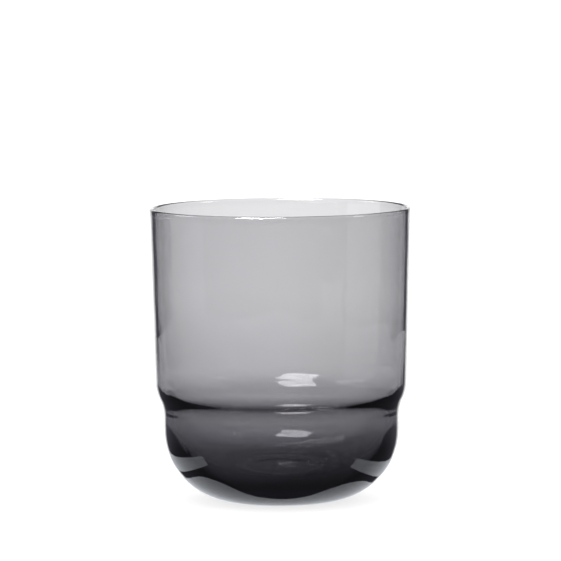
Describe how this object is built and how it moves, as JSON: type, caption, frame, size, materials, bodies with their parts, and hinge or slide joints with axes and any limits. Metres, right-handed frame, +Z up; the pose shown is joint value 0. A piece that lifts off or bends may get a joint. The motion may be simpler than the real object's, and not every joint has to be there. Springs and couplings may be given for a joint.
{
  "type": "whiskey tumbler",
  "caption": "Straight drinking tumbler of smoke-grey glass, with a thin wall, a rounded lip, a stepped-in cup below a soft shoulder and a thick rounded base.",
  "frame": {"origin": "centre of the foot, on the surface that the glass stands on", "axes": "+Z up along the axis of the glass; the glass is the same all round, so X and Y are any two directions across it"},
  "size_m": [0.08, 0.08, 0.09],
  "materials": {
    "smoke_glass": "fire-polished, clear, through-coloured smoke grey"
  },
  "bodies": {
    "root": {"glass_body": "smoke_glass"}
  },
  "joints": []
}
